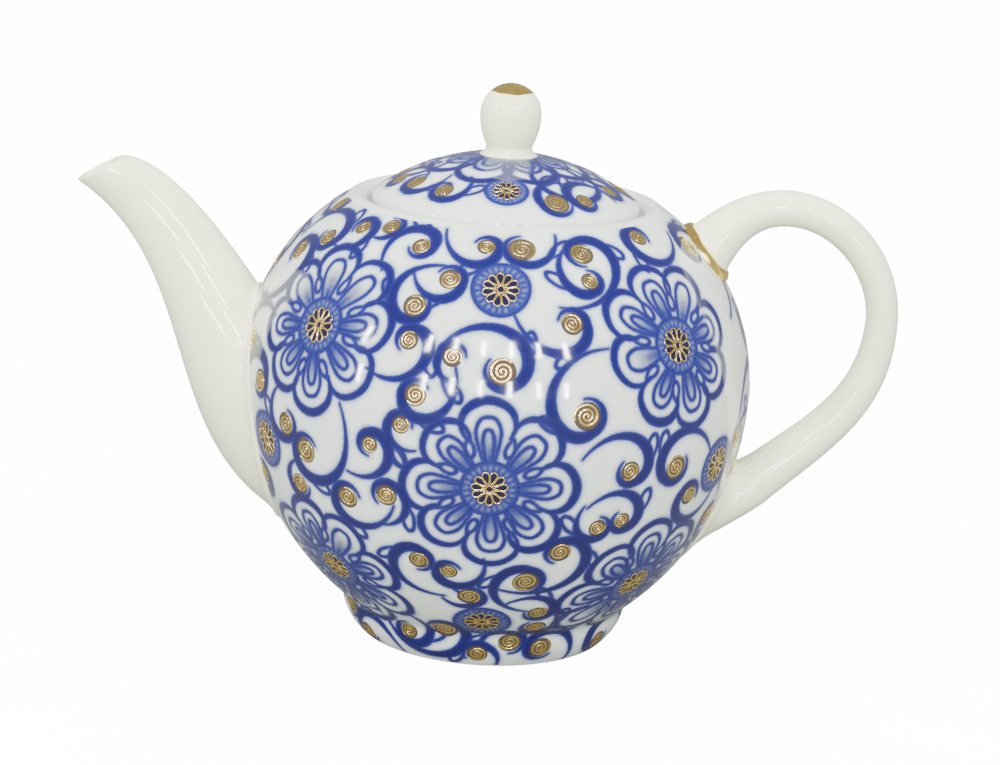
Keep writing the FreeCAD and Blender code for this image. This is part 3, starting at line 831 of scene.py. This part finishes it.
def make_lid(material, canvas):
    reach = canvas.reaches / DOME_RADIUS
    dome = np.stack([DOME_RADIUS * np.sin(reach), DOME_CENTRE + DOME_RADIUS * np.cos(reach)], 1)
    edge = resample(arc(dome[-1], (35.6, 118.4), -1.8), 0.35)[1:]
    base = rounded([(35.6, 118.4), (35.6, 114.8), (30.8, 114.8), (30.8, 106.5), (28.4, 106.5),
                    (28.4, 120.4)], 0.5)[1:]
    inner = arc((28.4, 120.5), (0.0, 128.4), 55.0, 2.5)[1:]
    inner[-1, 0] = 0.0
    outline = np.concatenate([[(0.0, DOME_CENTRE + DOME_RADIUS)], dome, edge, base, inner])[::-1]
    turns = 360 / LID_COLUMNS * np.arange(LID_COLUMNS)
    points, faces, index = lathe(outline, turns, whole=True)
    first = len(outline) - 1 - len(dome)
    layers = {}
    for key, field in canvas.layers.items():
        values = np.zeros(len(points))
        values[index[first:first + len(dome), :-1]] = field[::-1]
        layers[key] = values
    piece = add_piece("lid_dome", points, faces, "lid", material, layers)
    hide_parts("lid")
    cut_holes(piece, [(np.zeros(3), 1.5)], (0.0, 17.0, 140.0), (0.0, 17.0, 120.0))


TOP, KNOB_RADIUS = 150.0, 8.15
KNOB_HEIGHT = TOP - KNOB_RADIUS
CAP_RADIUS = 5.9                       # of the gilded cap's edge


def make_knob(white, gilt):
    flare = arc((8.6, 130.85), (6.1, 133.4), -2.7, 0.3)
    neck = arc((6.1, 133.4), (KNOB_RADIUS, KNOB_HEIGHT), 18.4, 0.4)[1:]
    ball = arc((KNOB_RADIUS, KNOB_HEIGHT), (0.0, TOP), KNOB_RADIUS, 0.3)[1:]
    outline = np.concatenate([[(0.0, 129.9), (8.4, 129.9)], flare, neck, ball])
    outline[-1, 0] = 0.0
    points, faces, _ = lathe(outline, np.arange(0, 360, 3.75), whole=True)
    knob = add_piece("knob", points, faces, "lid", white)
    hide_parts("lid_knob")
    rows, columns = 24, 96
    turns = 2 * math.pi / columns * np.arange(columns)
    limit = math.acos(CAP_RADIUS / KNOB_RADIUS) + 0.018 * np.sin(3 * turns + 1) + 0.01 * np.sin(7 * turns)
    shells = []
    for radius, order in ((KNOB_RADIUS + 0.06, 1), (KNOB_RADIUS - 0.05, -1)):
        shares = np.linspace(0.02, 1, rows)[::order]
        tilt = shares[:, None] * limit[None, :]
        shells.append(np.stack([radius * np.sin(tilt) * np.sin(turns),
                                -radius * np.sin(tilt) * np.cos(turns),
                                KNOB_HEIGHT + radius * np.cos(tilt)], 2))
    points, faces = tube(np.concatenate(shells), closed=False)
    add_piece("knob_gilding", points, faces, "lid", gilt)


# ---- spout and handle

SPOUT_LOW = [(-113.6, 117.6), (-90.7, 103.0), (-83.7, 76.5), (-86.4, 43.4), (-54.0, 28.5)]
SPOUT_HIGH = [(-101.2, 124.8), (-88.5, 124.2), (-70.6, 100.8), (-60.5, 84.0)]
SUNK = 1.0   # how far the ends of spout and handle go into the pot's wall


def fillet(gap, reach):
    """How far a wall is pushed out where it is within reach of the bulb."""
    share = 1 - np.clip(gap / reach, 0, 1)
    return reach * (1 - np.sqrt(1 - np.minimum(share, 0.96) ** 2))


def spout_points(t, turn, inset, reach):
    """Points of the spout's section at t, at a turn round it; all arrays of one shape."""
    low, high = bezier(SPOUT_LOW, t)[0], bezier(SPOUT_HIGH, t)[0]
    middle, across = (low + high) / 2, high - low
    depth = np.hypot(across[..., 0], across[..., 1]) / 2
    width = 7 + 20 * t ** 2.2 - inset
    unit = across / (2 * depth[..., None])
    depth = depth - inset
    c, s = np.cos(turn), np.sin(turn)
    x, y = middle[..., 0] + c * depth * unit[..., 0], s * width
    z = middle[..., 1] + c * depth * unit[..., 1]
    if reach:
        push = fillet(bulb_gap(x, y, z), reach)
        steep = np.hypot(c / depth, s / width)
        out = c / depth / steep * push
        x, y, z = x + out * unit[..., 0], y + s / width / steep * push, z + out * unit[..., 1]
    return np.stack([x, y, z], -1)


def spout_grid(rows, turns, inset, reach):
    """The spout's wall from its mouth to where it sinks into the bulb."""
    t = np.linspace(0.3, 1.12, 500)[:, None] * np.ones(len(turns))
    places = spout_points(t, turns[None, :], inset, reach)
    inside = bulb_gap(*np.moveaxis(places, -1, 0)) < -SUNK
    end = t[np.argmax(inside, 0), 0]
    share = np.linspace(0, 1, rows)[:, None] * end[None, :]
    return spout_points(share, turns[None, :] * np.ones((rows, 1)), inset, reach)


def make_spout(material):
    turns = 2 * math.pi / 120 * np.arange(120)
    outer = spout_grid(150, turns, 0.0, 2.2)
    inner = spout_grid(60, turns, 2.6, 0)[::-1]
    lip = []
    for angle in np.radians([150, 120, 90, 60, 30]):
        share = (1 - math.cos(angle)) / 2
        edge = inner[-1] * (1 - share) + outer[0] * share
        forward = outer[0] - outer[3]
        forward /= np.linalg.norm(forward, axis=1)[:, None]
        lip.append(edge + forward * math.sin(angle) * 0.9)
    rings = np.concatenate([outer, inner, np.array(lip)[::-1]])
    points, faces = tube(rings, closed=True)
    piece = add_piece("spout_shell", points, faces, "pot", material, smooth=60)
    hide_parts("spout")


HANDLE_RISE = [(51.0, 104.5), (57.0, 112.0), (63.0, 120.8), (75.0, 120.8)]
HANDLE_BEND = [(75.0, 120.8), (89.0, 120.8), (102.5, 107.5), (102.5, 91.5)]
HANDLE_FALL = [(102.5, 91.5), (102.5, 68.0), (87.0, 59.0), (71.0, 44.5)]


def handle_line():
    """Sections along the handle: middle, unit across the bar, half depth and half width."""
    t = np.linspace(0, 1, 80)
    sections = []
    for curve, depths, widths in (
        (HANDLE_RISE, 4.8 + 4.0 * (1 - t) ** 2, 6.4 + 5.6 * (1 - t) ** 2),
        (HANDLE_BEND, 4.8 - 0.5 * t, 6.4 + 0 * t),
        (HANDLE_FALL, 4.3 + 2.1 * t, 6.4 + 2.6 * t ** 3),
    ):
        place, going = bezier(curve, t)
        unit = going / np.hypot(*going.T)[:, None]
        across = np.stack([-unit[:, 1], unit[:, 0]], 1)
        sections.append(np.column_stack([place, across, depths, widths])[:-1])
    sections = np.concatenate(sections)
    last = sections[-1]
    edges = [(last[:2] + side * last[2:4] * last[4], (53.0, 24.5) if side > 0 else (64.0, 53.0))
             for side in (1, -1)]
    before = sections[-12]
    starts = [before[:2] + side * before[2:4] * before[4] for side in (1, -1)]
    foot = []
    for share in np.linspace(0, 1, 40)[1:]:
        ends = []
        for (here, there), start in zip(edges, starts):
            pull = (here - start) / np.hypot(*(here - start)) * 18
            there = np.array(there)
            square, cube = share ** 2, share ** 3
            ends.append((2 * cube - 3 * square + 1) * here + (cube - 2 * square + share) * pull
                        + (3 * square - 2 * cube) * there + (cube - square) * (there - here))
        across = ends[0] - ends[1]
        depth = np.hypot(*across) / 2
        width = last[5] + (12.8 - last[5]) * share
        foot.append([*((ends[0] + ends[1]) / 2), *(across / (2 * depth)), depth, width])
    return np.concatenate([sections, foot])


def handle_points(sections, place, turn, reach):
    """Points of the bar at places along its sections, at a turn round it."""
    order = np.arange(len(sections))
    x0, z0, ux, uz, depth, width = (np.interp(place, order, sections[:, k]) for k in range(6))
    c, s = np.cos(turn), np.sin(turn)
    x, y, z = x0 + c * depth * ux, s * width, z0 + c * depth * uz
    if reach:
        push = fillet(bulb_gap(x, y, z), reach) * np.where(place > len(sections) / 2, 1.0, 0.35)
        steep = np.hypot(c / depth, s / width)
        out = c / depth / steep * push
        x, y, z = x + out * ux, y + s / width / steep * push, z + out * uz
    return np.stack([x, y, z], -1)


def handle_ends(sections, turns, sunk):
    """Where, along its sections, each line of the bar meets the bulb, at both ends."""
    fine = np.linspace(0, len(sections) - 1, 1200)
    places = handle_points(sections, fine[:, None] * np.ones(len(turns)), turns[None, :], 3.5)
    outside = bulb_gap(*np.moveaxis(places, -1, 0)) > -sunk
    half = len(fine) // 2
    first = half - np.argmin(outside[half::-1], 0)
    last = half + np.argmin(outside[half:], 0)
    last = np.where(outside[half:].all(0), len(fine) - 1, last)
    return fine[first], fine[last]


def make_handle(white, gilt):
    turns = 2 * math.pi / 96 * np.arange(96)
    sections = handle_line()
    start, end = handle_ends(sections, turns, SUNK)
    share = np.linspace(0, 1, 260)[:, None]
    place = start[None, :] * (1 - share) + end[None, :] * share
    rings = handle_points(sections, place, turns[None, :] * np.ones(place.shape), 3.5)
    points, faces = tube(rings, closed=False)
    piece = add_piece("handle_bar", points, faces, "pot", white, smooth=60)
    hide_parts("handle")

    turns = 2 * math.pi / 240 * np.arange(240)
    root, _ = handle_ends(sections, turns, 0.0)
    for _ in range(12):
        root = (np.roll(root, 1) + 2 * root + np.roll(root, -1)) / 4
    base = handle_points(sections, root, turns, 3.5)
    ahead = handle_points(sections, root + 3, turns, 3.5)
    up = (ahead - base) / np.linalg.norm(ahead - base, axis=1)[:, None]
    flow = np.roll(base, -1, 0) - np.roll(base, 1, 0)
    flow /= np.linalg.norm(flow, axis=1)[:, None]
    out = np.cross(flow, up)
    out *= np.sign((out * (base - base.mean(0))).sum(1))[:, None]
    wave = 1 + 0.08 * np.sin(7 * turns) + 0.03 * np.sin(16 * turns + 2)
    rings = []
    for k in range(20):
        angle = 2 * math.pi * k / 20
        rise, bulge = math.cos(angle), math.sin(angle)
        rings.append(base + up * (0.9 + 1.45 * rise * wave)[:, None]
                     + out * (0.05 + 0.8 * bulge * (0.7 + 0.3 * wave))[:, None])
    points, faces = tube(np.array(rings).transpose(1, 0, 2), closed=True)
    piece = add_piece("handle_gilding", points, faces, "pot", gilt, smooth=80)
    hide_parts("handle_collar")


# ---- floor, light and camera

def make_stage():
    """A pale floor and surround. Reflections see them darker, as in a studio of black flags."""
    material, tree, shader = new_material("pale_floor")
    seen = node(tree, "ShaderNodeLightPath").outputs["Is Camera Ray"]
    tone = ramp(tree, noise(tree, 3.0), [(0.3, (0.90, 0.90, 0.90)), (0.7, (0.94, 0.94, 0.94))])
    tree.links.new(mix(tree, seen, (0.16, 0.16, 0.155), tone), shader.inputs["Base Color"])
    shader.inputs["Emission Color"].default_value = (1.0, 1.0, 1.0, 1.0)
    tree.links.new(span(tree, seen, 0.0, 1.0, 0.0, FLOOR_GLOW), shader.inputs["Emission Strength"])
    shader.inputs["Roughness"].default_value = 0.9
    shader.inputs["Specular IOR Level"].default_value = 0.0
    mesh = bpy.data.meshes.new("floor")
    mesh.from_pydata([(-6, -6, 0), (6, -6, 0), (6, 6, 0), (-6, 6, 0)], [], [(0, 1, 2, 3)])
    mesh.materials.append(material)
    floor = bpy.data.objects.new("floor", mesh)
    floor.location.z = -0.0002
    bpy.context.scene.collection.objects.link(floor)
    world = bpy.data.worlds.new("studio")
    world.use_nodes = True
    tree = world.node_tree
    path = node(tree, "ShaderNodeLightPath").outputs
    light = span(tree, path["Is Glossy Ray"], 0.0, 1.0, WORLD_LIGHT, WORLD_MIRRORED)
    strength = node(tree, "ShaderNodeMath", {0: path["Is Camera Ray"], 1: WORLD_SEEN, 2: light},
                    operation="MULTIPLY_ADD").outputs[0]
    tree.links.new(strength, tree.nodes["Background"].inputs["Strength"])
    tree.nodes["Background"].inputs["Color"].default_value = (1.0, 1.0, 1.0, 1.0)
    bpy.context.scene.world = world


FLOOR_GLOW = 12.0
WORLD_LIGHT, WORLD_MIRRORED, WORLD_SEEN = 0.82, 0.50, 12.0
CAMERA = np.array([0.0, -681.0, 246.0])
CAMERA_DOWN, CAMERA_ROLL, CAMERA_HEADING = 14.6, 3.3, -0.1   # degrees
# upright strip lamps, each put where the glaze mirrors it to the camera: (azimuth, along, strength)
GLINTS = [(azimuth, row * LENGTH, 0.5) for row in (0.62, 0.69, 0.76)
          for azimuth in (-30, *range(-15, 16, 6))]
GLINT_SIZE, GLINT_DISTANCE, GLINT_POWER = (0.075, 0.4), 3.0, 36.0
# lamps that fill the sides and the back: (azimuth, height, strength), both angles in degrees
FILLS = [(-75, 38, 1.3), (75, 42, 1.3), (150, 50, 1.4), (-150, 50, 1.4)]


SOFTBOX_SIZE, SOFTBOX_HEIGHT, SOFTBOX_POWER = 2.4, 2.6, 95.0


def add_lamp(name, kind, toward, energy):
    """A lamp of a kind, in the direction `toward`, that shines at the pot."""
    light = bpy.data.lights.new(name, kind)
    light.energy = energy
    lamp = bpy.data.objects.new(name, light)
    lamp.rotation_mode = "QUATERNION"
    lamp.rotation_quaternion = (-Vector(toward)).to_track_quat("-Z", "Y")
    lamp.location = Vector(toward) * GLINT_DISTANCE
    bpy.context.scene.collection.objects.link(lamp)
    return lamp


def make_lights():
    for order, (azimuth, height, strength) in enumerate(GLINTS):
        turn = math.radians(azimuth)
        radius, level, out, up = wall_at(height)
        normal = np.array([out * math.sin(turn), -out * math.cos(turn), up])
        view = CAMERA - np.array([radius * math.sin(turn), -radius * math.cos(turn), level])
        view /= np.linalg.norm(view)
        lamp = add_lamp(f"glint_{order}", "AREA", 2 * (normal @ view) * normal - view,
                        strength * GLINT_POWER)
        lamp.data.shape = "RECTANGLE"
        lamp.data.size, lamp.data.size_y = GLINT_SIZE
    for order, (azimuth, height, strength) in enumerate(FILLS):
        turn, rise = math.radians(azimuth), math.radians(height)
        toward = (math.cos(rise) * math.sin(turn), -math.cos(rise) * math.cos(turn), math.sin(rise))
        lamp = add_lamp(f"fill_{order}", "SUN", toward, strength)
        lamp.data.angle = math.radians(9.0)
        lamp.visible_glossy = False
    light = bpy.data.lights.new("softbox", "AREA")
    light.shape = "DISK"
    light.size = SOFTBOX_SIZE
    light.energy = SOFTBOX_POWER
    lamp = bpy.data.objects.new("softbox", light)
    lamp.visible_glossy = False
    lamp.location = (0.0, 0.0, SOFTBOX_HEIGHT)
    bpy.context.scene.collection.objects.link(lamp)


def make_camera():
    camera = bpy.data.objects.new("camera", bpy.data.cameras.new("camera"))
    camera.data.lens, camera.data.sensor_width = 93.6, 36.0
    camera.matrix_world = Matrix.Translation(CAMERA * MM) \
        @ Matrix.Rotation(math.radians(CAMERA_HEADING), 4, "Z") \
        @ Matrix.Rotation(math.radians(90 - CAMERA_DOWN), 4, "X") \
        @ Matrix.Rotation(math.radians(CAMERA_ROLL), 4, "Z")
    bpy.context.scene.collection.objects.link(camera)
    bpy.context.scene.camera = camera


# ---- the scene

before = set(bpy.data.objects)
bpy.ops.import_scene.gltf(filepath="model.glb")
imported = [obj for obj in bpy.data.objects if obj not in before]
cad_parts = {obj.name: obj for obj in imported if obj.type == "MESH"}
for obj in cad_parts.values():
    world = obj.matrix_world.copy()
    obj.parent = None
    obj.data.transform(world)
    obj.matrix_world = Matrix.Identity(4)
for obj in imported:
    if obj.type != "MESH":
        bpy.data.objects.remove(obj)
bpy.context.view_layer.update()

white, painted, gilt = lit_white_porcelain(), painted_porcelain(), gold()
pot_canvas, lid_canvas = PotCanvas(), LidCanvas()
pot_spirals, pot_rosettes, lid_gold = Gilding(), Gilding(), Gilding()
paint_pot(pot_canvas, pot_spirals, pot_rosettes)
paint_lid(lid_canvas, lid_gold)
make_pot(painted, pot_canvas)
make_lid(painted, lid_canvas)
make_knob(white, gilt)
make_spout(white)
make_handle(white, gilt)
add_piece("gilded_spirals", pot_spirals.points, pot_spirals.faces, "pot", gilt, smooth=80)
add_piece("gilded_rosettes", pot_rosettes.points, pot_rosettes.faces, "pot", gilt, smooth=80)
add_piece("lid_gilding", lid_gold.points, lid_gold.faces, "lid", gilt, smooth=80)

make_stage()
make_camera()
make_lights()
